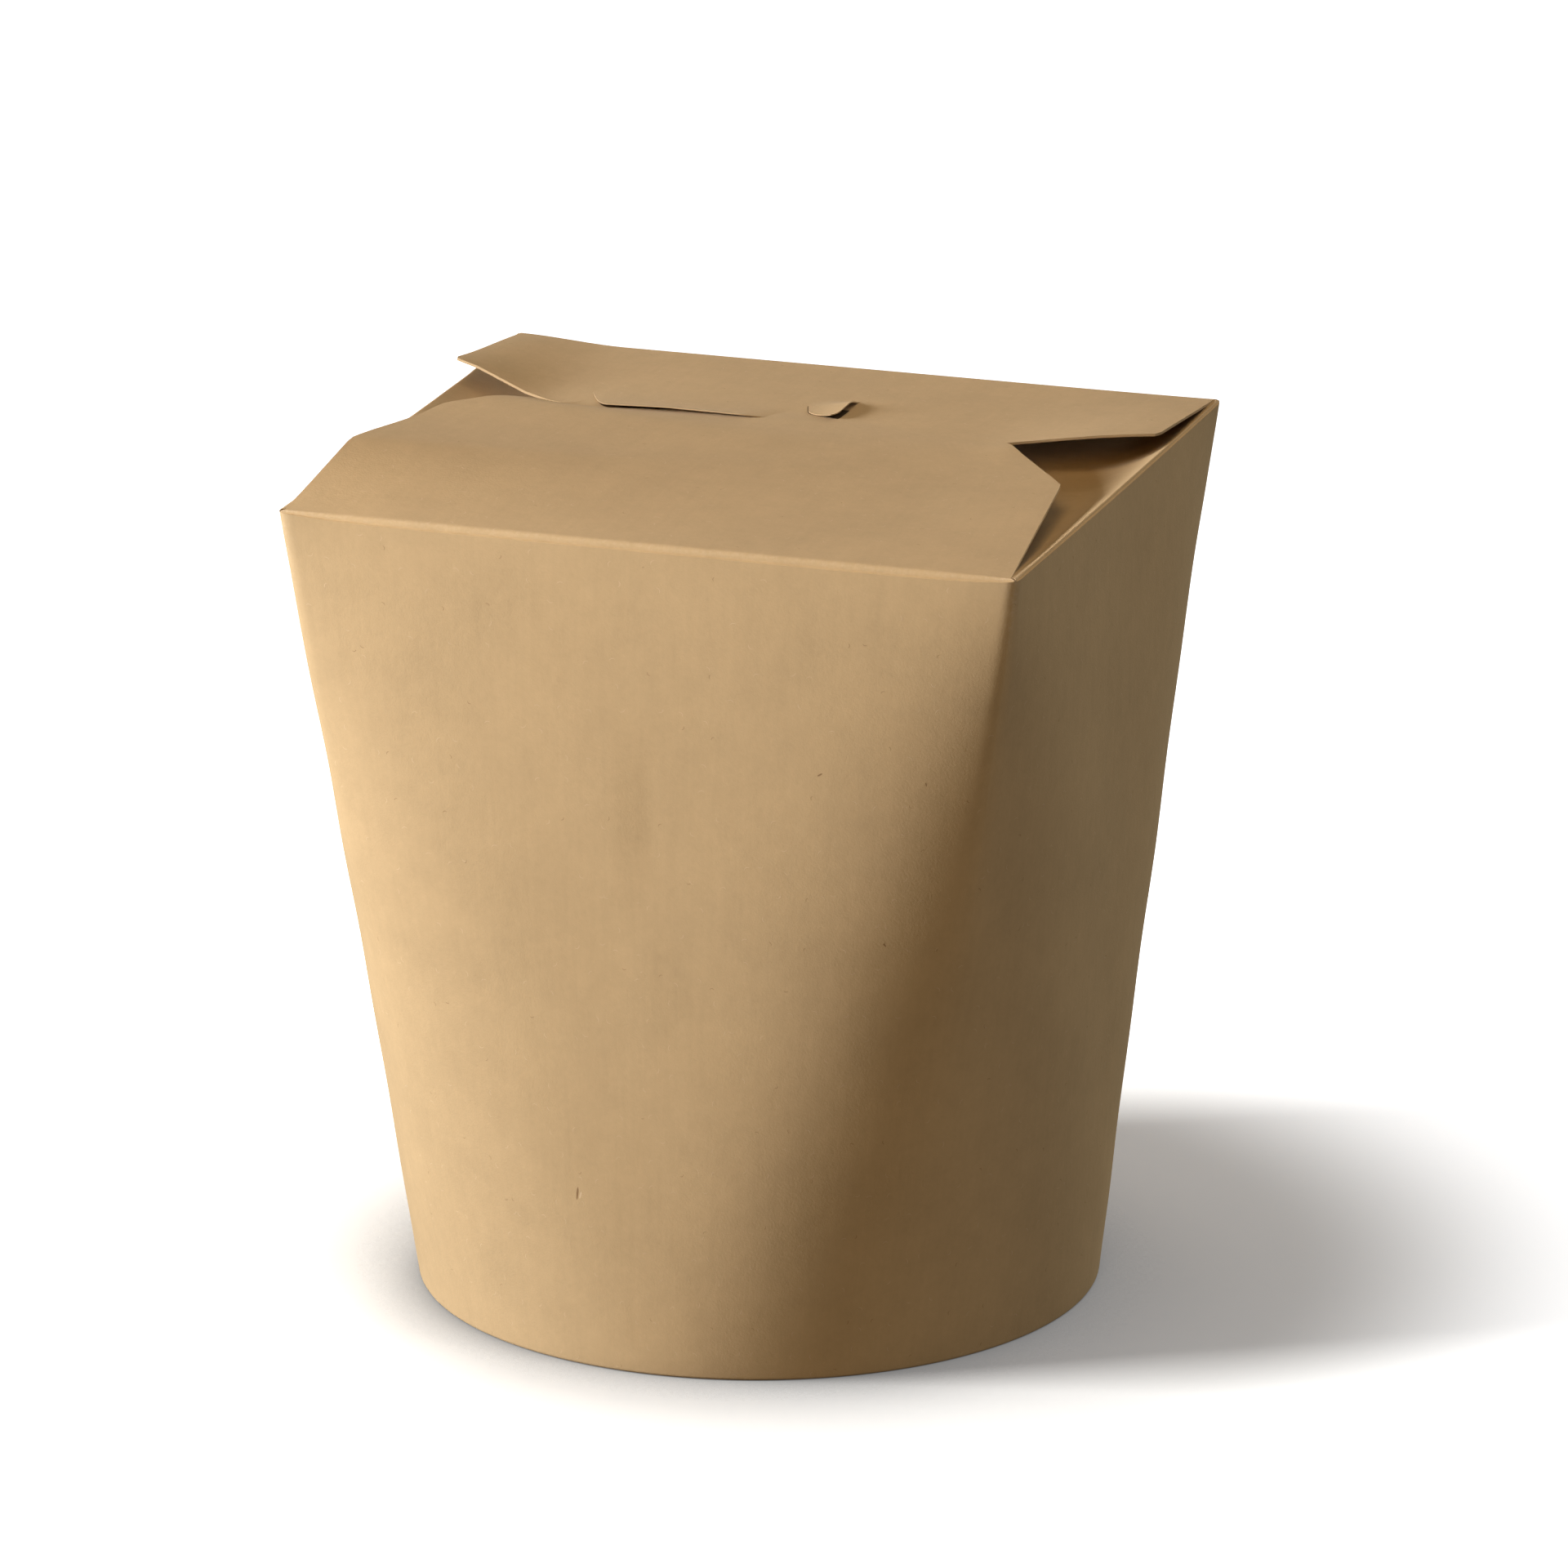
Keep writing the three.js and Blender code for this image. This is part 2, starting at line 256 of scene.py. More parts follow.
def corner_lift(x, y):
    """How far the back left corner stands up: a smooth climb to the left times one to the back."""
    return BACK_CORNER_LIFT * ramp(*BACK_CORNER_X_SPAN, -x) * ramp(*BACK_CORNER_Y_SPAN, y)


def side_dip(x, y):
    """How far the side flaps have sunk: a parabola away from the fold times one from the corners."""
    run = np.where(x > 0, SIDE_DIP_RUN_RIGHT, SIDE_DIP_RUN_LEFT)
    from_side = np.clip((TOP_WIDTH / 2 - np.abs(x)) / run, 0, 1)
    from_corner = np.clip((TOP_DEPTH / 2 - np.abs(y)) / CORNER_DIP_RUN, 0, 1)
    return SIDE_DIP * (1 - (1 - from_side) ** 2) * (1 - (1 - from_corner) ** 2)


def back_rise(x, y):
    """The back flap's height over the folds.

    It is the share of the way to the tips, times a small rise plus a smooth curl near each tip.
    """
    share = (TOP_DEPTH / 2 - y) / BACK_TIP_REACH
    curl_right = BACK_CURL_RIGHT * ramp(*BACK_CURL_RIGHT_SPAN, x)
    curl = curl_right + BACK_CURL_LEFT * ramp(*BACK_CURL_LEFT_SPAN, -x)
    return share * (BACK_RISE + curl) + corner_lift(x, y)


def front_rise(x, y):
    """The front flap's height over the folds.

    It is a slow straight climb to the back flap plus an arch. The arch is a power of the distance to
    the left, times a power of the distance from the fold, less what it sags and falls further back.
    Along the far edge the height blends into the back flap's own, so that the flap is pressed flush.
    """
    share = (y + TOP_DEPTH / 2) / (TONGUE_Y + TOP_DEPTH / 2)
    across = np.clip((ARCH_START - x) / ARCH_RUN, 0, None) ** ARCH_GROWTH
    climb_run = ARCH_CLIMB + ARCH_CLIMB_SPREAD * (x - FRONT_PLAN[0][1])
    climb = np.clip((y - ARCH_FOOT) / climb_run, 0, 1) ** ARCH_CLIMB_POWER
    sag = 1 - ARCH_SAG * ramp(*ARCH_SAG_SPAN, y)
    fall = 1 - ARCH_FALL * ramp(*ARCH_FALL_SPAN, y)
    free = FRONT_RISE * share + FRONT_BULGE * across * climb * sag * fall
    slope = (TONGUE_Y - SHOULDER_Y) / (SHOULDER_X - TONGUE_X)
    far_edge = SHOULDER_Y + (SHOULDER_X - np.abs(x)) * slope
    pressed = ramp(*PRESSED_SPAN, y - far_edge) * ramp(*PRESSED_HALF_WIDTH_SPAN, np.abs(x))
    return lerp(free, back_rise(x, y) + FLUSH, pressed)


def panel_shares():
    """The columns of a panel as shares -1 to 1 of its half width.

    A power of the way from the corner crowds them towards its corners.
    """
    half = 1 - (1 - np.linspace(0, 1, HALF_PANEL_STEPS + 1)) ** CROWD_TO_CORNER
    return np.concatenate([-half[:0:-1], half])


def fold_radius(side, share):
    """The round of a fold at a share -1 to 1 along it: tight at the corners, softest in the middle.

    Between them it follows one less the share to a power on the long folds, and a power of one less the
    share squared on the side folds.
    """
    middle = list(FOLD_RADIUS.values())[side]
    on_side = side in (RIGHT, LEFT)
    shape = (1 - share**2) ** SIDE_FOLD_TAPER if on_side else 1 - share**LONG_FOLD_TAPER
    return CORNER_FOLD_RADIUS + (middle - CORNER_FOLD_RADIUS) * shape


def fold_arc():
    """A quarter turn whose curvature eases in and out: inward and upward travel, both ending at 1."""
    fine = FOLD_WALK_STEPS
    middle = (np.arange(FOLD_ROWS * fine) + 0.5) / (FOLD_ROWS * fine)
    turn = np.pi / 2 * ramp(0, 1, middle)
    inward, upward = np.cumsum(np.sin(turn)), np.cumsum(np.cos(turn))
    rows = slice(fine - 1, None, fine)
    return (inward / inward[-1])[rows, None], (upward / upward[-1])[rows, None]


def plan_ends(plan, distance):
    """The left and right ends of a flap at distances from its fold.

    Each is the mean of five places on the plan within TIP_ROUND, which rounds its corners a little.
    """
    far, left, right = (np.array(v, float) for v in zip(*plan))
    spread = np.array([-TIP_ROUND, -TIP_ROUND / 2, 0, TIP_ROUND / 2, TIP_ROUND])
    near = np.clip(distance[:, None] + spread, far[0], far[-1])
    return np.interp(near, far, left).mean(axis=1), np.interp(near, far, right).mean(axis=1)


# Per side: which way along and inward go, how far out the fold is, the flap's plan and its height
SIDES = {
    FRONT: ((1, 0), (0, 1), TOP_DEPTH / 2, FRONT_PLAN, front_rise),
    RIGHT: ((0, 1), (-1, 0), TOP_WIDTH / 2, SIDE_PLAN, lambda x, y: corner_lift(x, y) - side_dip(x, y)),
    BACK: ((-1, 0), (0, -1), TOP_DEPTH / 2, BACK_PLAN, back_rise),
    LEFT: ((0, -1), (1, 0), TOP_WIDTH / 2, SIDE_PLAN, lambda x, y: corner_lift(x, y) - side_dip(x, y)),
}


def flap_rows(plan, rows_per_mm):
    """Distances from the fold for the flap's rows, with a row on each corner of its plan."""
    stations = [station[0] for station in plan]
    rows = []
    for near, far in zip(stations, stations[1:]):
        count = max(3, round((far - near) * rows_per_mm))
        rows.append(np.linspace(near, far, count + 1)[1:])
    return np.concatenate(rows)


def flap(side, rows_per_mm=0.75):
    """One flap from its fold to its far edge: x, y, z, board distance and wear, as rows by columns.

    The first rows go round the fold on an arc of fold_radius, and the rest follow the flap's height. The
    columns fan from the panel's own columns to the flap's two ends.
    """
    along_axis, inward_axis, fold_at, plan, rise = SIDES[side]
    share = panel_shares()
    radius = fold_radius(side, share)
    half_fold = (TOP_DEPTH if side in (RIGHT, LEFT) else TOP_WIDTH) / 2

    arc_in, arc_up = fold_arc()
    fold_in = radius * arc_in
    fold_drop = radius * (1 - arc_up)
    blend = np.linspace(0, 1, FOLD_ROWS + 1)[1:, None]
    right = plan_ends(plan, np.array([0.0]))[1]
    fold_ends = lerp(half_fold, right[0], blend)
    fold_along = share * fold_ends
    fold_board = radius * blend * np.pi / 2

    far = flap_rows(plan, rows_per_mm)[:, None]
    reach = plan[-1][0]
    flat_in = radius + (far / reach) * (reach - radius)
    left, right = plan_ends(plan, far[:, 0])
    flat_along = lerp(left[:, None], right[:, None], (share + 1) / 2)
    flat_board = radius * np.pi / 2 + flat_in - radius

    inward = np.vstack([fold_in, flat_in])
    along = np.vstack([fold_along, flat_along])
    drop = np.vstack([fold_drop, 0 * flat_in])
    board = np.vstack([fold_board, flat_board])
    x = along * along_axis[0] + (inward - fold_at) * inward_axis[0]
    y = along * along_axis[1] + (inward - fold_at) * inward_axis[1]
    z = HEIGHT - drop + rise(x, y)

    near_corner = np.exp(-((1 - np.abs(share)) * half_fold / CORNER_WEAR_REACH) ** 2)
    crown = lerp(LONG_FOLD_WEAR if side in (FRONT, BACK) else SIDE_FOLD_WEAR, 1.0, near_corner)
    wear = np.vstack([np.sin(blend * np.pi) * crown, np.zeros_like(flat_in)])
    return x, y, z, board, wear


def waves(u, v, seed, count=9, longest=60.0, shortest=18.0):
    """Slow unevenness of the board: a sum of long sine waves in random directions, about -1 to 1."""
    draw = np.random.default_rng(seed)
    total = 0 * u
    for _ in range(count):
        length = draw.uniform(shortest, longest)
        heading = draw.uniform(0, np.pi)
        phase = draw.uniform(0, 2 * np.pi)
        total = total + np.sin((u * np.cos(heading) + v * np.sin(heading)) * 2 * np.pi / length + phase)
    return total / math.sqrt(count)


def rim_profile():
    """The rolled rim's section: how far in from the wall and how high, from the hem's top to the wall.

    It is a straight line down the hem and two quarter circles of RIM_ROUND.
    """
    turn = np.linspace(0, np.pi / 2, RIM_STEPS)
    inner_in = RIM_WIDTH - RIM_ROUND + RIM_ROUND * np.cos(turn)
    inner_z = RIM_ROUND - RIM_ROUND * np.sin(turn)
    outer_in = RIM_ROUND - RIM_ROUND * np.sin(turn)
    outer_z = RIM_ROUND - RIM_ROUND * np.cos(turn)
    hem_z = np.linspace(HEM_TOP, RIM_ROUND, HEM_ROWS + 1)[:-1]
    inset = np.concatenate([np.full(HEM_ROWS, RIM_WIDTH), inner_in, outer_in])
    return inset, np.concatenate([hem_z, inner_z, outer_z])


def lap_offset(ring_share):
    """The glued lap stands one board proud at its cut edge and fades away over LAP_RUN of the wall."""
    panel_of_lap = 6 * HALF_PANEL_STEPS
    seam = panel_of_lap - HALF_PANEL_STEPS * LAP_SHARE
    run = LAP_RUN / (TOP_DEPTH / 2) * HALF_PANEL_STEPS
    past = (ring_share - seam) / run
    return np.where(past >= 0, BOARD * (1 - ramp(0, 1, past)), 0)


def wall():
    """The wall with its rolled rim: x, y, z, board distance, wear and the distance round the box.

    The rows go from the hem's top to the folds, and each is the outline at its own height. The rim's rows
    are the base circle, drawn in by the rim's section, and the last row stops one fold radius below the
    folds.
    """
    inset, rim_z = rim_profile()
    rise = 1 - (1 - np.linspace(0, 1, WALL_ROWS + 1)[1:]) ** CROWD_TO_TOP
    wall_x, wall_y = outline(np.concatenate([np.zeros(1), rise]))
    sides = (FRONT, RIGHT, BACK, LEFT)
    radius = np.concatenate([fold_radius(side, panel_shares()[:-1]) for side in sides])
    radius = np.roll(radius, -HALF_PANEL_STEPS)

    pleat = np.sin(np.arange(RING) / RING * 2 * np.pi * HEM_PLEATS)
    pleat = pleat + HEM_PLEAT_CHANCE * rng.standard_normal(RING)
    on_hem = (inset > RIM_WIDTH - 0.01)[:, None] * HEM_PLEAT_DEPTH
    shrink = 1 - (inset[:, None] + on_hem * pleat) / BASE_RADIUS
    rim_x, rim_y = wall_x[:1] * shrink, wall_y[:1] * shrink

    lift = corner_lift(wall_x[-1], wall_y[-1])
    top_z = HEIGHT - radius + lift
    wall_z = RIM_ROUND + rise[:, None] * (top_z - RIM_ROUND)
    wall_x, wall_y = wall_x[1:], wall_y[1:]

    step = np.hypot(np.roll(wall_x, -1, 1) - wall_x, np.roll(wall_y, -1, 1) - wall_y).mean(axis=0)
    round_at = np.concatenate([[0], np.cumsum(step)])
    share_up = rise[:, None]
    uneven = waves(round_at[:-1][None, :] + 0 * wall_z, wall_z, UNEVEN_SEED) * UNEVENNESS
    uneven *= ramp(0, 0.15, share_up) * ramp(1.0, 0.9, share_up)
    lap = lap_offset(np.arange(RING))[None, :] * ramp(0, 0.02, share_up) * ramp(1, 0.995, share_up)
    out = 1 + (uneven + lap) / np.hypot(wall_x, wall_y)
    wall_x, wall_y = wall_x * out, wall_y * out

    corner = (np.arange(RING) + HALF_PANEL_STEPS) % PANEL
    from_corner = np.minimum(corner, PANEL - corner)
    crease_wear = np.exp(-(from_corner / CREASE_WEAR_REACH) ** 2)[None, :] * CREASE_WEAR
    crease_wear = crease_wear * ramp(CREASE_WEAR_FROM, 1.0, share_up)
    x = np.vstack([rim_x, wall_x])
    y = np.vstack([rim_y, wall_y])
    z = np.vstack([rim_z[:, None] + 0 * rim_x, wall_z])
    board = np.vstack([(rim_z - RIM_ROUND)[:, None] + 0 * rim_x, wall_z])
    wear = np.vstack([0 * rim_x, crease_wear])
    return x, y, z, board, wear, round_at


def lip_cut(x):
    """The y of the lip's cut edge, and how far the lip is free of its two ends, from 0 to 1.

    The cut is a slanted line, less a bow where the lip is free, plus a power curve at its left end.
    """
    ends = ramp(*LIP_FREE_LEFT, x - LIP_LEFT) * ramp(*LIP_FREE_RIGHT, x - LIP_RIGHT)
    along = (x - LIP_LEFT) / (LIP_RIGHT - LIP_LEFT)
    near_end = 1 - np.clip((x - LIP_LEFT) / LIP_END_CURVE_RUN, 0, 1)
    curve = LIP_END_CURVE * near_end**LIP_END_CURVE_POWER
    return LIP_CUT - LIP_CUT_SLANT * along - LIP_CUT_BOW * ends + curve, ends


def lip():
    """The lip: it leaves the back flap on a cube of the way to its cut edge, and its ends stay down."""
    rows, columns = LIP_GRID
    x = np.linspace(LIP_LEFT, LIP_RIGHT, columns)[None, :]
    edge, ends = lip_cut(x)
    share = np.linspace(0, 1, rows)[:, None]
    y = lerp(LIP_BACK, edge, share)
    freed = ends * lerp(LIP_LIFT_LEFT_SHARE, 1, ramp(*LIP_LIFT_SPAN, x - LIP_LEFT))
    z = HEIGHT + back_rise(x, y) - SUNK + LIP_LIFT * freed * share**3
    x = x + 0 * y
    return x, y, z, LIP_BACK - y, ramp(0.93, 1, share) * CUT_EDGE_WEAR + 0 * x


def rounded_run(stations, share):
    """x and y along an edge at shares of its length, each the mean of the places near it.

    That rounds the corners at the edge's stations.
    """
    at, x, y = (np.array(v, float) for v in zip(*stations))
    near = np.clip(share[:, None] + np.linspace(-TAB_EDGE_ROUND, TAB_EDGE_ROUND, 7), 0, 1)
    return np.interp(near, at, x).mean(axis=1)[:, None], np.interp(near, at, y).mean(axis=1)[:, None]


def lock_tab():
    """The small tab: a sheet between its left and right edges, whose right edge stands up most.

    Its lift blends across from the left edge's, a power of the way to its end, to the right edge's.
    """
    rows, columns = TAB_GRID
    share = np.linspace(0, 1, rows)
    across = np.linspace(0, 1, columns)[None, :]
    left_x, left_y = rounded_run(TAB_LEFT, share)
    right_x, right_y = rounded_run(TAB_RIGHT, share)
    share = share[:, None]
    x, y = lerp(left_x, right_x, across), lerp(left_y, right_y, across)
    left_lift = TAB_LIFT_LEFT * share**1.5
    right_lift = TAB_LIFT_RIGHT * ramp(0, 0.5, share) * (1 - TAB_END_DROP * share)
    lift = lerp(left_lift, right_lift, across**1.5)
    z = HEIGHT + back_rise(x, y) - SUNK + lift
    return x, y, z, TAB_BACK - y, ramp(0.9, 1, share) * CUT_EDGE_WEAR + 0 * x


def lip_slit_shade():
    """Painted shade under the lip: a near-black strip on the flap that runs in behind the lip's cut edge.
    """
    rows, columns = LIP_SLIT_GRID
    x = np.linspace(LIP_LEFT + LIP_SLIT_ENDS[0], LIP_RIGHT + LIP_SLIT_ENDS[1], columns)[None, :]
    edge, ends = lip_cut(x)
    y = edge + LIP_SLIT_BEHIND_CUT + np.linspace(0, LIP_SLIT_DEPTH, rows)[:, None] * ends
    z = HEIGHT + back_rise(x, y) + FLUSH + SLIT_ABOVE
    return x + 0 * y, y, z


def tab_slit_shade():
    """Painted shade in the hole that the tab was cut from: a near-black sheet in the tab's own plan, a
    little wider to the right.
    """
    rows, columns = TAB_SLIT_GRID
    share = np.linspace(TAB_SLIT_START, 1, rows)
    across = np.linspace(0, 1, columns)[None, :]
    left_x, left_y = rounded_run(TAB_LEFT, share)
    right_x, right_y = rounded_run(TAB_RIGHT, share)
    x = lerp(left_x + TAB_SLIT_LEFT, right_x + TAB_SLIT_RIGHT, across)
    y = lerp(left_y, right_y, across)
    z = HEIGHT + back_rise(x, y) + FLUSH + SLIT_ABOVE
    return x, y, z


class BoardMesh:
    """Gathers grids of the board, sheet by sheet, and puts them into one mesh with whole arrays."""

    def __init__(self):
        self.points, self.quads, self.uvs, self.wear, self.count = [], [], [], [], 0

    def add_points(self, x, y, z, wear):
        """Adds a grid of points in millimetres and gives back their numbers, in the same rows."""
        index = np.arange(self.count, self.count + x.size).reshape(x.shape)
        self.points.append(np.stack([x, y, z], axis=-1).reshape(-1, 3))
        self.wear.append(np.broadcast_to(wear, x.shape).ravel())
        self.count += x.size
        return index

    def add_quads(self, index, u, v):
        """Quads over a grid of point numbers, with the board's own length u and v in millimetres."""
        quads = np.stack([index[:-1, :-1], index[:-1, 1:], index[1:, 1:], index[1:, :-1]], axis=-1)
        self.quads.append(quads.reshape(-1, 4))
        uv = np.stack([u, v], axis=-1)
        corners = np.stack([uv[:-1, :-1], uv[:-1, 1:], uv[1:, 1:], uv[1:, :-1]], axis=2)
        self.uvs.append(corners.reshape(-1, 2))

    def build(self, name, materials):
        """Puts everything gathered so far into one object's mesh, in metres."""
        mesh = bpy.data.meshes.new(name)
        points = np.concatenate(self.points) * MM
        quads = np.concatenate(self.quads)
        mesh.vertices.add(len(points))
        mesh.vertices.foreach_set("co", points.astype(np.float32).ravel())
        mesh.loops.add(quads.size)
        mesh.loops.foreach_set("vertex_index", quads.astype(np.int32).ravel())
        mesh.polygons.add(len(quads))
        mesh.polygons.foreach_set("loop_start", np.arange(0, quads.size, 4, dtype=np.int32))
        layer = mesh.uv_layers.new(name="board")
        layer.data.foreach_set("uv", (np.concatenate(self.uvs) * MM).astype(np.float32).ravel())
        attribute = mesh.attributes.new("wear", "FLOAT", "POINT")
        attribute.data.foreach_set("value", np.concatenate(self.wear).astype(np.float32))
        mesh.update(calc_edges=True)
        for material in materials:
            mesh.materials.append(material)
        piece = bpy.data.objects.new(name, mesh)
        bpy.context.scene.collection.objects.link(piece)
        return piece


def thicken(piece, thickness, full_group):
    """Gives a sheet its thickness below the drawn face, with its cut edges in the second material.

    What isn't in the full group is crushed board, and thinner.
    """
    solidify = piece.modifiers.new("thickness", "SOLIDIFY")
    solidify.thickness = thickness * MM
    solidify.offset = -1
    solidify.use_even_offset = True
    solidify.material_offset_rim = 1
    solidify.vertex_group = full_group
    solidify.thickness_vertex_group = CRUSHED_SHARE
    evaluated = piece.evaluated_get(bpy.context.evaluated_depsgraph_get())
    finished = bpy.data.meshes.new_from_object(evaluated)
    finished.name = piece.data.name
    piece.modifiers.clear()
    piece.data = finished
    finished.shade_smooth()
    finished.set_sharp_from_angle(angle=SHARP_EDGE)


def make_carton(materials):
    """The whole folded blank: the wall, four flaps that grow out of its last row, and the lock."""
    board = BoardMesh()
    x, y, z, length, wear, round_at = wall()
    index = board.add_points(x, y, z, wear)
    closed = np.hstack([index, index[:, :1]])
    u = np.broadcast_to(round_at, closed.shape)
    board.add_quads(closed, u, np.hstack([length, length[:, :1]]))

    top = closed[-1, :-1]
    top_board = length[-1]
    for side in (FRONT, RIGHT, BACK, LEFT):
        columns = (np.arange(PANEL + 1) - HALF_PANEL_STEPS + side * PANEL) % RING
        x, y, z, length, wear = flap(side)
        index = np.vstack([top[columns], board.add_points(x, y, z, wear)])
        u = np.broadcast_to(round_at[:-1][columns], index.shape)
        if side == FRONT:
            u = np.where(u > round_at[-1] / 2, u - round_at[-1], u)
        v = top_board[columns] + np.vstack([0 * length[:1], length])
        board.add_quads(index, u, v)

    # The lock's columns run the other way, so that its drawn face looks up
    full_board = board.count
    for sheet in (lip(), lock_tab()):
        x, y, z, length, wear = (grid[:, ::-1] for grid in sheet)
        index = board.add_points(x, y, z, wear)
        board.add_quads(index, x, length)
    piece = board.build("carton_board", materials)
    piece.vertex_groups.new(name="full_board").add(range(full_board), 1.0, "REPLACE")
    thicken(piece, BOARD, "full_board")
    return piece


def make_painted_slit_shades(material):
    """Painted shade under the lock's lip and in its tab's hole: near-black sheets, with columns ordered so
    that both look up.
    """
    board = BoardMesh()
    for x, y, z in (lip_slit_shade(), tab_slit_shade()):
        facing = slice(None, None, 1 if y[-1, 0] > y[0, 0] else -1)
        x, y, z = x[:, facing], y[:, facing], z[:, facing]
        board.add_quads(board.add_points(x, y, z, 0 * x), x, y)
    return board.build("lock_painted_slit_shades", [material])


def make_base_disc(materials):
    """The round base: a profile of radius and height with a soft edge, carried round a full turn."""
    low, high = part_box("base_board")
    radius, bottom, top = high.x / MM, low.z / MM, high.z / MM
    ring_radius = np.concatenate([np.linspace(0.02, 0.97, 16), [DISC_EDGE_FROM, 0.995, 1.0]])
    rounding = (top - bottom) * DISC_EDGE_ROUND * ramp(DISC_EDGE_FROM, 1.0, ring_radius)
    under = bottom + rounding
    over = top - rounding
    profile_r = np.concatenate([ring_radius, ring_radius[-2::-1]]) * radius
    profile_z = np.concatenate([under, over[-2::-1]])
    angle = np.arange(DISC_STEPS + 1) / DISC_STEPS * 2 * np.pi
    x = profile_r[:, None] * np.sin(angle)
    y = profile_r[:, None] * np.cos(angle)
    z = profile_z[:, None] + DISC_UNEVENNESS * waves(x, y, DISC_SEED, longest=50, shortest=14)
    board = BoardMesh()
    index = board.add_points(x[:, :-1], y[:, :-1], z[:, :-1], 0 * x[:, :-1])
    board.add_quads(np.hstack([index, index[:, :1]]), x, y)
    piece = board.build("base_disc", materials)
    close_poles(piece)
    piece.data.shade_smooth()
    piece.data.set_sharp_from_angle(angle=SHARP_DISC_EDGE)
    return piece


def close_poles(piece):
    """Fills the two small round holes that a turned grid leaves at its middle."""
    work = bmesh.new()
    work.from_mesh(piece.data)
    open_edges = [edge for edge in work.edges if edge.is_boundary]
    bmesh.ops.holes_fill(work, edges=open_edges, sides=0)
    bmesh.ops.recalc_face_normals(work, faces=work.faces)
    work.to_mesh(piece.data)
    work.free()


def per_metre(size):
    """How many features of a size in millimetres fit in a metre, which is what the texture nodes read."""
    return 1.0 / (size * MM)


# Materials. A size is in millimetres, and a strength is the share that a feature adds
LARGE_CLOUD_SIZE, LARGE_CLOUD_STRENGTH = 14.0, 0.9
MIDDLE_CLOUD_SIZE, MIDDLE_CLOUD_STRENGTH = 3.2, 0.7
FINE_CLOUD_SIZE, FINE_CLOUD_STRENGTH = 0.7, 0.5
STREAK_SIZE, STREAK_STRETCH = 0.9, 0.06
WEAR_FLECK_SIZE, WEAR_FLECK_STRENGTH = 0.55, 0.8
FLECK_DEPTH, FLECK_STRENGTH = 6.0, 0.8
PALE_FIBRE = {"Cell": per_metre(3.1), "Length": 0.14, "Width": 0.018, "Share": 0.35}
DARK_FIBRE = {"Cell": per_metre(6.5), "Length": 0.05, "Width": 0.011, "Share": 0.3}
TOOTH_SIZE = 0.28
COCKLE_SIZE, COCKLE_STRENGTH = 2.2, 1.5
FIBRE_RELIEF = 0.35
RELIEF_HEIGHT, RELIEF_STRENGTH = 0.05, 0.5
SHEEN_ROUGHNESS = 0.5
PALE_FIBRE_COLOUR = (0.72, 0.56, 0.37, 1)
DARK_FIBRE_COLOUR = (0.25, 0.14, 0.06, 1)
WORN_COLOUR = (0.74, 0.60, 0.43, 1)
FACE_COLOUR = (0.54, 0.385, 0.215)
CUT_COLOUR = (0.44, 0.31, 0.175)
BASE_COLOUR = (0.52, 0.35, 0.195)
# A near-black brown for the sheets of painted shade in the lock's gaps
PAINTED_SLIT_SHADE_COLOUR = (0.06, 0.032, 0.012)


def feed(tree, socket, value):
    """Links a socket, or sets a plain value."""
    if isinstance(value, bpy.types.NodeSocket):
        tree.links.new(value, socket)
    else:
        socket.default_value = value


def node(tree, kind, inputs=None, **settings):
    """A new node with its settings, and its inputs linked or set by name or number."""
    made = tree.nodes.new(kind)
    for name, value in settings.items():
        setattr(made, name, value)
    for name, value in (inputs or {}).items():
        feed(tree, made.inputs[name], value)
    return made


def calc(tree, operation, a, b=0.0, clamp=False):
    """One step of arithmetic on two sockets or values."""
    return node(tree, "ShaderNodeMath", {0: a, 1: b}, operation=operation, use_clamp=clamp).outputs[0]


def noise(tree, vector, size, detail, roughness=0.5):
    """Noise from 0 to 1 with features of a size in millimetres."""
    inputs = {"Vector": vector, "Scale": per_metre(size), "Detail": detail, "Roughness": roughness}
    return node(tree, "ShaderNodeTexNoise", inputs).outputs["Fac"]


def centred_noise(tree, vector, size, detail, roughness=0.5):
    """Noise that goes below and above zero."""
    return calc(tree, "SUBTRACT", noise(tree, vector, size, detail, roughness), 0.5)


def smooth_range(tree, value, low, high, to_low=0.0, to_high=1.0):
    """to_low up to low, to_high past high and a smooth S between them."""
    inputs = {"Value": value, "From Min": low, "From Max": high, "To Min": to_low, "To Max": to_high}
    return node(tree, "ShaderNodeMapRange", inputs, interpolation_type="SMOOTHSTEP").outputs["Result"]


def blend_colour(tree, share, a, b):
    """Colour a where the share is 0, and b where it is 1."""
    made = node(tree, "ShaderNodeMix", data_type="RGBA")
    feed(tree, made.inputs[0], share)
    feed(tree, made.inputs[6], a)
    feed(tree, made.inputs[7], b)
    return made.outputs[2]


def scaled(tree, vector, factors):
    """A vector with each of its axes times its own factor."""
    return node(tree, "ShaderNodeVectorMath", {0: vector, 1: factors}, operation="MULTIPLY").outputs[0]


def grown(tree, vector, factor):
    """A vector or colour times one factor."""
    inputs = {0: vector, "Scale": factor}
    return node(tree, "ShaderNodeVectorMath", inputs, operation="SCALE").outputs[0]


def from_centre(tree, vector, centre):
    """A vector counted from a centre."""
    return node(tree, "ShaderNodeVectorMath", {0: vector, 1: centre}, operation="SUBTRACT").outputs[0]


def turned_axes(tree, vector, angle, axis):
    """The x, y and z of a vector turned by an angle about an axis."""
    turned = node(tree, "ShaderNodeVectorRotate", {"Vector": vector, "Angle": angle}, rotation_type=axis)
    return node(tree, "ShaderNodeSeparateXYZ", {"Vector": turned.outputs[0]}).outputs


def distance_in(tree, value, unit):
    """How far a value is from zero, counted in a unit."""
    return calc(tree, "DIVIDE", calc(tree, "ABSOLUTE", value), unit)


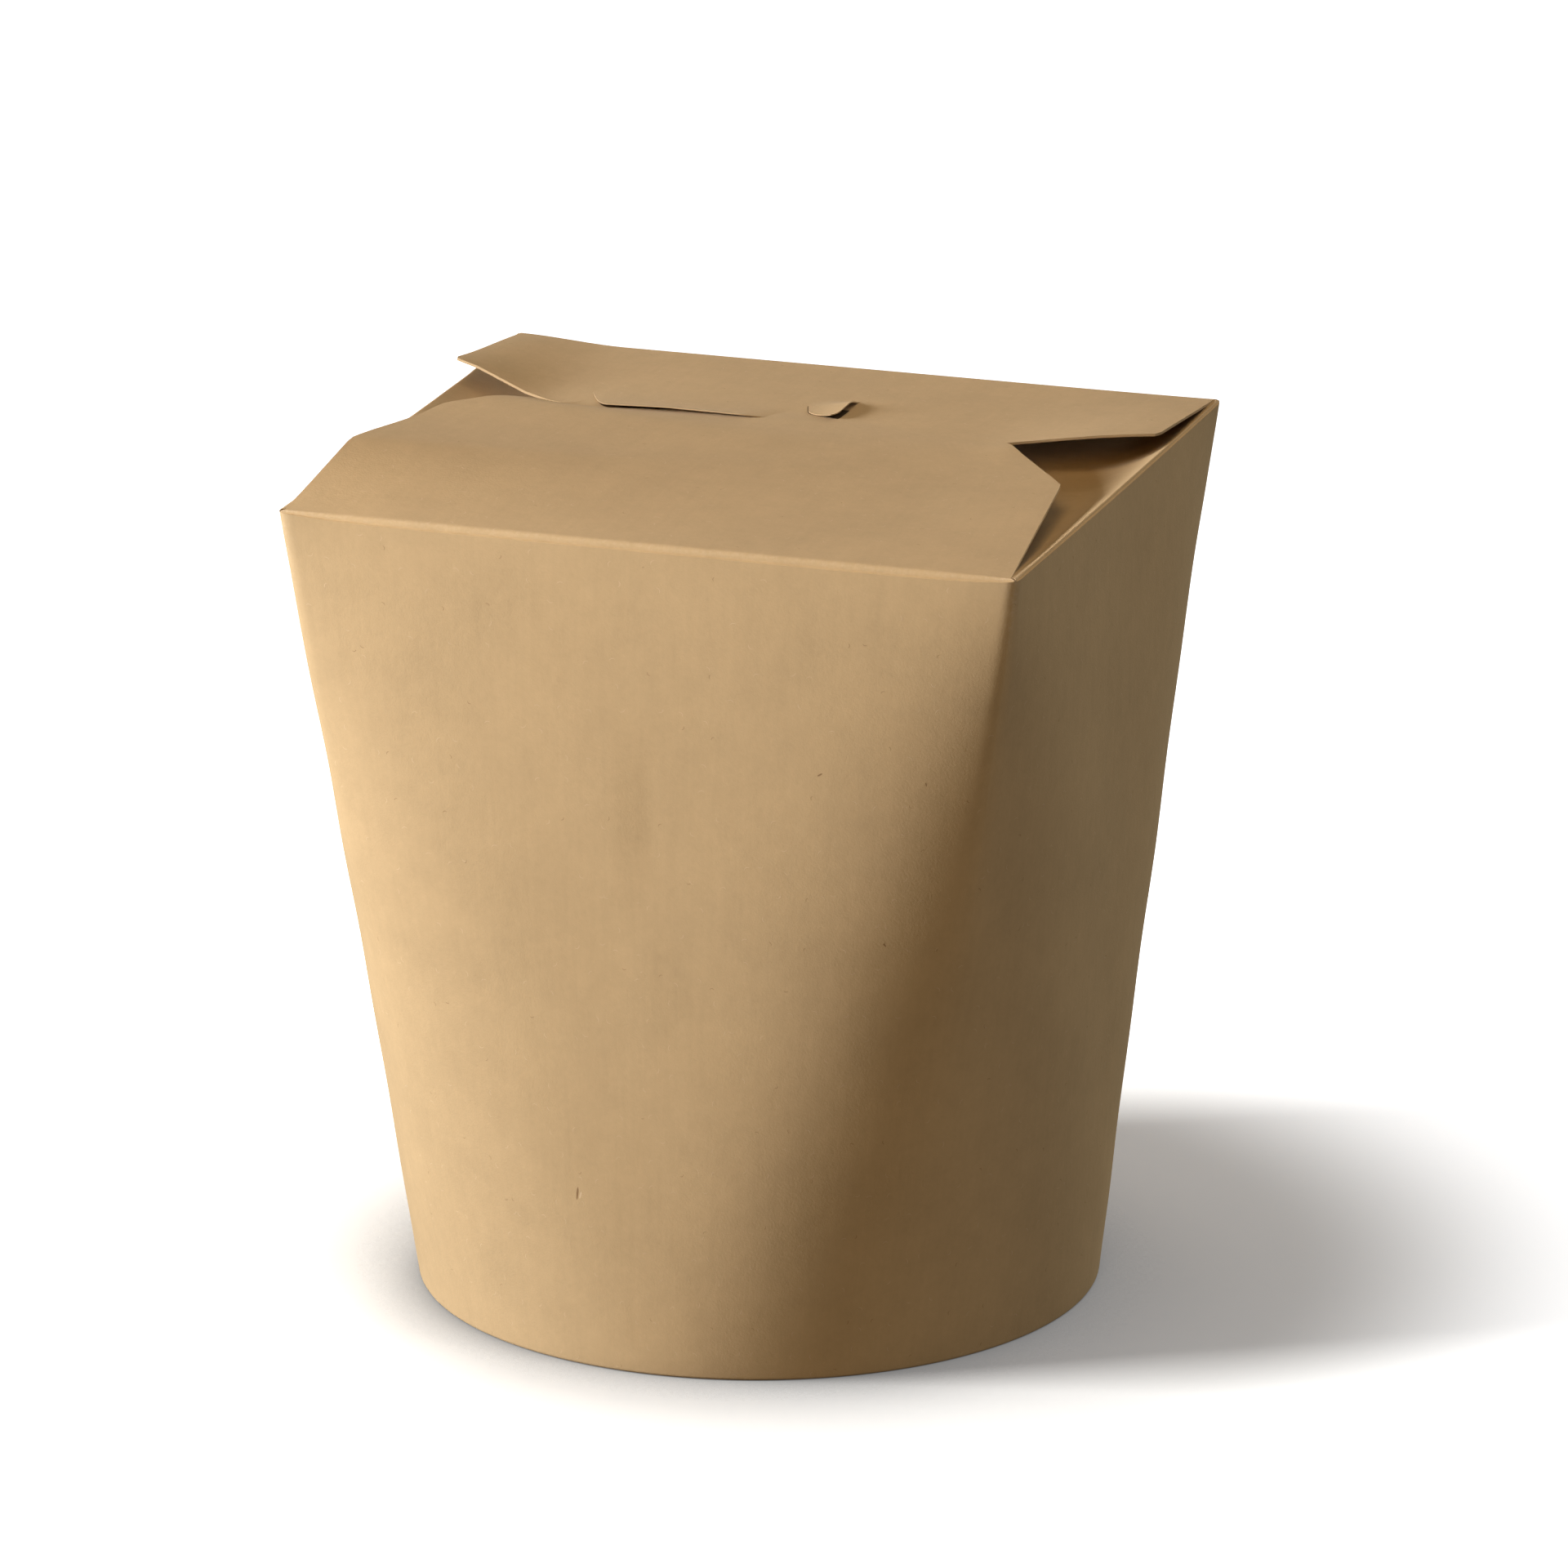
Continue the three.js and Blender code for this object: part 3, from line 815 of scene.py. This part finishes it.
def start_group(name, inputs, outputs):
    """A node group with named sockets. inputs and outputs are {name: (kind, value)} and {name: kind}."""
    tree = bpy.data.node_groups.new(name, "ShaderNodeTree")
    for label, (kind, value) in inputs.items():
        socket = tree.interface.new_socket(label, in_out="INPUT", socket_type="NodeSocket" + kind)
        socket.default_value = value
    for label, kind in outputs.items():
        tree.interface.new_socket(label, in_out="OUTPUT", socket_type="NodeSocket" + kind)
    return tree, tree.nodes.new("NodeGroupInput").outputs, tree.nodes.new("NodeGroupOutput").inputs


def use_group(tree, group, inputs):
    """A group placed in a tree with its own values. It gives back the group's outputs."""
    made = node(tree, "ShaderNodeGroup", node_tree=group)
    for name, value in inputs.items():
        feed(tree, made.inputs[name], value)
    return made.outputs


def mottling_group():
    """Cloudy pulp, as three sizes of noise added round zero, and faint streaks along the board."""
    inputs = {
        "Place": ("Vector", (0, 0, 0)),
        "Board": ("Vector", (0, 0, 0)),
        "Cloud": ("Float", 1),
        "Streak": ("Float", 1),
    }
    tree, given, made = start_group("Pulp mottling", inputs, {"Shade": "Float"})
    large = centred_noise(tree, given["Place"], LARGE_CLOUD_SIZE, 2.0)
    middle = centred_noise(tree, given["Place"], MIDDLE_CLOUD_SIZE, 3.0, 0.6)
    fine = centred_noise(tree, given["Place"], FINE_CLOUD_SIZE, 2.0, 0.6)
    along = scaled(tree, given["Board"], (1.0, STREAK_STRETCH, 1.0))
    streak = centred_noise(tree, along, STREAK_SIZE, 2.0, 0.6)
    large = calc(tree, "MULTIPLY", large, LARGE_CLOUD_STRENGTH)
    middle = calc(tree, "MULTIPLY", middle, MIDDLE_CLOUD_STRENGTH)
    fine = calc(tree, "MULTIPLY", fine, FINE_CLOUD_STRENGTH)
    cloud = calc(tree, "ADD", calc(tree, "ADD", large, middle), fine)
    cloud = calc(tree, "MULTIPLY", cloud, given["Cloud"])
    shade = calc(tree, "ADD", cloud, calc(tree, "MULTIPLY", streak, given["Streak"]))
    tree.links.new(shade, made["Shade"])
    return tree


def fibre_group():
    """Short bent fibres: one stroke about the point of each random cell, turned by that cell's own angle.

    A stroke is where the turned place is within Length along and Width across, in cells, and Share of the
    cells have one. Its middle line bows by Bend times the square of the place along it over Length.
    """
    inputs = {
        "Board": ("Vector", (0, 0, 0)),
        "Cell": ("Float", 300),
        "Length": ("Float", 0.2),
        "Width": ("Float", 0.03),
        "Share": ("Float", 0.3),
        "Bend": ("Float", 0.6),
    }
    tree, given, made = start_group("Loose fibres", inputs, {"Mask": "Float"})
    place = grown(tree, given["Board"], given["Cell"])
    cells = node(tree, "ShaderNodeTexVoronoi", {"Vector": place, "Scale": 1.0}, voronoi_dimensions="2D")
    draw = node(tree, "ShaderNodeSeparateColor", {"Color": cells.outputs["Color"]}).outputs
    offset = from_centre(tree, place, cells.outputs["Position"])
    axes = turned_axes(tree, offset, calc(tree, "MULTIPLY", draw[0], 2 * math.pi), "Z_AXIS")
    along = distance_in(tree, axes[0], given["Length"])
    bow = calc(tree, "MULTIPLY", calc(tree, "MULTIPLY", axes[0], axes[0]), given["Bend"])
    bow = calc(tree, "MULTIPLY", bow, calc(tree, "DIVIDE", 1.0, given["Length"]))
    across = distance_in(tree, calc(tree, "SUBTRACT", axes[1], bow), given["Width"])
    long_enough = smooth_range(tree, along, 1.0, 0.6)
    stroke = calc(tree, "MULTIPLY", long_enough, smooth_range(tree, across, 1.0, 0.3))
    present = calc(tree, "LESS_THAN", draw[1], given["Share"])
    tree.links.new(calc(tree, "MULTIPLY", stroke, present), made["Mask"])
    return tree


def fleck_group():
    """One fleck in the board: a soft ellipse on the front wall about Centre, turned by Angle."""
    inputs = {
        "Place": ("Vector", (0, 0, 0)),
        "Centre": ("Vector", (0, 0, 0)),
        "Angle": ("Float", 0),
        "Length": ("Float", 0.001),
        "Width": ("Float", 0.0002),
    }
    tree, given, made = start_group("Single fleck", inputs, {"Mask": "Float"})
    offset = from_centre(tree, given["Place"], given["Centre"])
    axes = turned_axes(tree, offset, given["Angle"], "Y_AXIS")
    along = distance_in(tree, axes[2], given["Length"])
    across = distance_in(tree, axes[0], given["Width"])
    near = calc(tree, "LESS_THAN", calc(tree, "ABSOLUTE", axes[1]), FLECK_DEPTH * MM)
    along_squared = calc(tree, "MULTIPLY", along, along)
    shape = calc(tree, "ADD", along_squared, calc(tree, "MULTIPLY", across, across))
    tree.links.new(calc(tree, "MULTIPLY", smooth_range(tree, shape, 1.0, 0.5), near), made["Mask"])
    return tree


def wear_group():
    """Worn folds: the board's own wear value, broken up by fine noise into pale crushed flecks."""
    inputs = {"Place": ("Vector", (0, 0, 0)), "Wear": ("Float", 0), "Amount": ("Float", 0.5)}
    tree, given, made = start_group("Fold wear", inputs, {"Mask": "Float"})
    broken = smooth_range(tree, noise(tree, given["Place"], WEAR_FLECK_SIZE, 3.0, 0.7), 0.38, 0.72)
    even = calc(tree, "MULTIPLY", broken, WEAR_FLECK_STRENGTH)
    even = calc(tree, "ADD", even, 1 - WEAR_FLECK_STRENGTH)
    worn = calc(tree, "MULTIPLY", given["Wear"], even)
    tree.links.new(calc(tree, "MULTIPLY", worn, given["Amount"], clamp=True), made["Mask"])
    return tree


MOTTLING = mottling_group()
FIBRES = fibre_group()
FLECK = fleck_group()
WEAR = wear_group()

# Flecks on the front wall, as (x, y, z in mm, angle in degrees, half length, half width in mm, colour)
DARK_FLECK = (0.22, 0.12, 0.05, 1)
PALE_FLECK = (0.68, 0.52, 0.34, 1)
FLECKS = [
    (-8.7, -44.6, 23.4, -6, 1.0, 0.17, DARK_FLECK),
    (-8.3, -44.6, 23.2, -14, 0.55, 0.13, PALE_FLECK),
    (23.4, -43.8, 81.6, -58, 0.42, 0.12, DARK_FLECK),
    (36.6, -41.5, 81.2, 10, 0.3, 0.1, DARK_FLECK),
    (31.2, -42.0, 59.8, 35, 0.3, 0.1, DARK_FLECK),
]


def kraft(
    name,
    colour,
    cloud=0.2,
    streak=0.08,
    pale=0.55,
    dark=0.55,
    wear=0.8,
    flecks=False,
    roughness=0.82,
    gloss=0.4,
    sheen=0.05,
):
    """Uncoated kraft board: mottled pulp, loose pale and dark fibres, worn folds and a fine tooth."""
    material = bpy.data.materials.new(name)
    material.use_nodes = True
    tree = material.node_tree
    shader = tree.nodes["Principled BSDF"]
    place = node(tree, "ShaderNodeTexCoord").outputs["Object"]
    board = node(tree, "ShaderNodeUVMap", uv_map="board").outputs[0]
    mottling = {"Place": place, "Board": board, "Cloud": cloud, "Streak": streak}
    tint = grown(tree, colour, calc(tree, "ADD", use_group(tree, MOTTLING, mottling)["Shade"], 1.0))
    pale_mask = use_group(tree, FIBRES, {"Board": board, **PALE_FIBRE})["Mask"]
    dark_mask = use_group(tree, FIBRES, {"Board": board, **DARK_FIBRE})["Mask"]
    tint = blend_colour(tree, calc(tree, "MULTIPLY", pale_mask, pale), tint, PALE_FIBRE_COLOUR)
    tint = blend_colour(tree, calc(tree, "MULTIPLY", dark_mask, dark), tint, DARK_FIBRE_COLOUR)
    value = node(tree, "ShaderNodeAttribute", attribute_name="wear").outputs["Fac"]
    worn = use_group(tree, WEAR, {"Place": place, "Wear": value, "Amount": wear})["Mask"]
    tint = blend_colour(tree, worn, tint, WORN_COLOUR)
    for x, y, z, angle, length, width, fleck_colour in FLECKS if flecks else ():
        fleck = {
            "Place": place,
            "Centre": (x * MM, y * MM, z * MM),
            "Angle": math.radians(angle),
            "Length": length * MM,
            "Width": width * MM,
        }
        mask = calc(tree, "MULTIPLY", use_group(tree, FLECK, fleck)["Mask"], FLECK_STRENGTH)
        tint = blend_colour(tree, mask, tint, fleck_colour)
    tree.links.new(tint, shader.inputs["Base Color"])
    shader.inputs["Roughness"].default_value = roughness
    shader.inputs["Specular IOR Level"].default_value = gloss
    shader.inputs["Sheen Weight"].default_value = sheen
    shader.inputs["Sheen Roughness"].default_value = SHEEN_ROUGHNESS
    cockle = calc(tree, "MULTIPLY", noise(tree, place, COCKLE_SIZE, 2.0), COCKLE_STRENGTH)
    tooth = calc(tree, "ADD", noise(tree, place, TOOTH_SIZE, 3.0, 0.6), cockle)
    relief = calc(tree, "ADD", tooth, calc(tree, "MULTIPLY", pale_mask, FIBRE_RELIEF))
    bump_inputs = {"Height": relief, "Strength": RELIEF_STRENGTH, "Distance": RELIEF_HEIGHT * MM}
    bump = node(tree, "ShaderNodeBump", bump_inputs)
    tree.links.new(bump.outputs[0], shader.inputs["Normal"])
    return material


# The photograph's camera: its place in metres, its turn in degrees, and its lens and sensor in millimetres
CAMERA_PLACE = (0.4374, -1.2668, 0.4893)
CAMERA_TURN = (72.42, 0.0905, 18.879)
LENS = 253.1
SENSOR = 36.0

# The floor, in metres: how far the painted shade round the box reaches, and where a painted glow turns the
# floor white
FLOOR_HALF = 6.0
CONTACT_REACH = 0.09
CONTACT_SHARE = 0.3
PALE_FROM, PALE_TO = 0.068, 0.114
PALE_NEAR, PALE_FAR = 0.08, 0.72
SHADE_FROM, SHADE_TO = 0.42, 0.97
SHADE_DEEP, SHADE_OPEN = 0.2, 1.9
FLOOR_SEEN_BY_BOX = (0.16, 0.13, 0.10, 1)
SURROUND_STRENGTH = 0.02
WHITE = (1, 1, 1, 1)

# Each light's direction from the box, its distance and size in metres, its power in watts and its colour
KEY = ((-0.826, -0.472, 0.309), 0.6, 0.2, 5.8, (1.0, 0.99, 0.96))
FILLS = {
    "back_fill": ((0.168, 0.951, 0.259), 3.0, 1.6, 38.0, (1.0, 0.9, 0.66)),
    "right_fill": ((0.976, -0.172, 0.139), 3.0, 1.6, 21.5, (1.0, 0.96, 0.88)),
    "front_fill": ((0.14, -0.80, 0.59), 3.0, 1.6, 12.0, (1.0, 0.6, 0.12)),
    "top_fill": ((-0.1, -0.17, 0.98), 2.5, 1.6, 14.5, (1.0, 0.72, 0.42)),
}


def make_camera():
    """The photograph's viewpoint: a long lens, a little above the box and round to its right."""
    data = bpy.data.cameras.new("camera")
    data.lens = LENS
    data.sensor_width = SENSOR
    data.clip_start, data.clip_end = 0.05, 30.0
    camera = bpy.data.objects.new("camera", data)
    camera.location = CAMERA_PLACE
    camera.rotation_euler = tuple(math.radians(angle) for angle in CAMERA_TURN)
    bpy.context.scene.collection.objects.link(camera)
    bpy.context.scene.camera = camera


def area_light(name, towards, distance, size, strength, colour):
    """A square light at a distance along a direction from the box's middle, facing the box."""
    direction = np.array(towards) / np.linalg.norm(towards)
    data = bpy.data.lights.new(name, "AREA")
    data.shape = "SQUARE"
    data.size = size
    data.energy = strength
    data.color = colour
    lamp = bpy.data.objects.new(name, data)
    target = np.array([0, 0, HEIGHT / 2 * MM])
    lamp.location = tuple(target + direction * distance)
    x, y, z = direction
    lamp.rotation_euler = (math.acos(z), 0, math.atan2(x, -y))
    bpy.context.scene.collection.objects.link(lamp)
    return lamp


def floor_material():
    """A pale floor that the camera sees white away from the box, and the box sees as dull card.

    What the camera sees is the sum of a glow and a matt face. The glow grows with the distance from the
    box's middle and with the open air over the floor, and the matt face's paleness grows with that open
    air. So the floor carries painted shade round the box's foot and a painted glow that whitens it further
    out, on top of the key light's real shadow.
    """
    material = bpy.data.materials.new("pale_floor")
    material.use_nodes = True
    tree = material.node_tree
    tree.nodes.remove(tree.nodes["Principled BSDF"])
    place = node(tree, "ShaderNodeTexCoord").outputs["Object"]
    away = node(tree, "ShaderNodeVectorMath", {0: place}, operation="LENGTH").outputs["Value"]
    # Painted shade: occlusion by the box dims both the glow and the matt face's paleness near its foot
    open_air = node(tree, "ShaderNodeAmbientOcclusion", {"Distance": CONTACT_REACH}).outputs["AO"]
    far_glow = smooth_range(tree, away, PALE_FROM, PALE_TO, PALE_NEAR, PALE_FAR)
    pale = calc(tree, "ADD", calc(tree, "MULTIPLY", open_air, CONTACT_SHARE), far_glow)
    glow = node(tree, "ShaderNodeEmission", {"Color": WHITE, "Strength": pale})
    lit = smooth_range(tree, open_air, SHADE_FROM, SHADE_TO, SHADE_DEEP, SHADE_OPEN)
    grey = node(tree, "ShaderNodeCombineColor", {0: lit, 1: lit, 2: lit}).outputs[0]
    matt = node(tree, "ShaderNodeBsdfDiffuse", {"Color": grey})
    seen = node(tree, "ShaderNodeLightPath").outputs["Is Camera Ray"]
    both = node(tree, "ShaderNodeAddShader", {0: glow.outputs[0], 1: matt.outputs[0]})
    dull = node(tree, "ShaderNodeBsdfDiffuse", {"Color": FLOOR_SEEN_BY_BOX})
    mixed = node(tree, "ShaderNodeMixShader", {0: seen, 1: dull.outputs[0], 2: both.outputs[0]})
    tree.links.new(mixed.outputs[0], tree.nodes["Material Output"].inputs["Surface"])
    return material


def make_floor():
    """A flat square of stage floor at the height that the box stands on."""
    half = FLOOR_HALF
    corners = [(-half, -half, 0), (half, -half, 0), (half, half, 0), (-half, half, 0)]
    mesh = bpy.data.meshes.new("floor")
    mesh.from_pydata(corners, [], [(0, 1, 2, 3)])
    floor = bpy.data.objects.new("floor", mesh)
    bpy.context.scene.collection.objects.link(floor)
    mesh.materials.append(floor_material())
    return floor


def make_surround():
    """White where the camera sees it, and nearly dark for everything else."""
    world = bpy.data.worlds.new("surround")
    bpy.context.scene.world = world
    world.use_nodes = True
    tree = world.node_tree
    seen = node(tree, "ShaderNodeLightPath").outputs["Is Camera Ray"]
    white = node(tree, "ShaderNodeBackground", {"Color": WHITE, "Strength": 1.0})
    fill = node(tree, "ShaderNodeBackground", {"Color": WHITE, "Strength": SURROUND_STRENGTH})
    mixed = node(tree, "ShaderNodeMixShader", {0: seen, 1: fill.outputs[0], 2: white.outputs[0]})
    tree.links.new(mixed.outputs[0], tree.nodes["World Output"].inputs["Surface"])


def make_stage():
    """The floor, the surround, a near key light from the left and four warm fills that miss the floor."""
    floor = make_floor()
    make_surround()
    area_light("key", *KEY)
    for lamp in [area_light(name, *values) for name, values in FILLS.items()]:
        others = bpy.data.collections.new(lamp.name + "_keeps_off")
        others.objects.link(floor)
        lamp.light_linking.receiver_collection = others
        others.collection_objects[0].light_linking.link_state = "EXCLUDE"
    bpy.context.scene.view_settings.view_transform = "Standard"


make_camera()
make_stage()

board_face = kraft("kraft_board_face", FACE_COLOUR, flecks=True)
cut_edge = kraft("kraft_cut_edge", CUT_COLOUR, cloud=0.06, streak=0.0, pale=0.3, dark=0.1, wear=0.2)
base_face = kraft("kraft_base_face", BASE_COLOUR, cloud=0.12)
# Painted shade: a near-black, dull material for the sheets in the lock's gaps
painted_slit_shade = kraft("kraft_slit_inside", PAINTED_SLIT_SHADE_COLOUR, pale=0.05, dark=0.0, wear=0.0, gloss=0.1, sheen=0.0)

carton = make_carton([board_face, cut_edge])
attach(carton, "root")
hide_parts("carton")

# Sheets of painted shade in the lock's gaps, which ride with the box
shade_sheets = make_painted_slit_shades(painted_slit_shade)
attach(shade_sheets, "root")

base_disc = make_base_disc([base_face])
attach(base_disc, "root")
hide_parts("base_board")
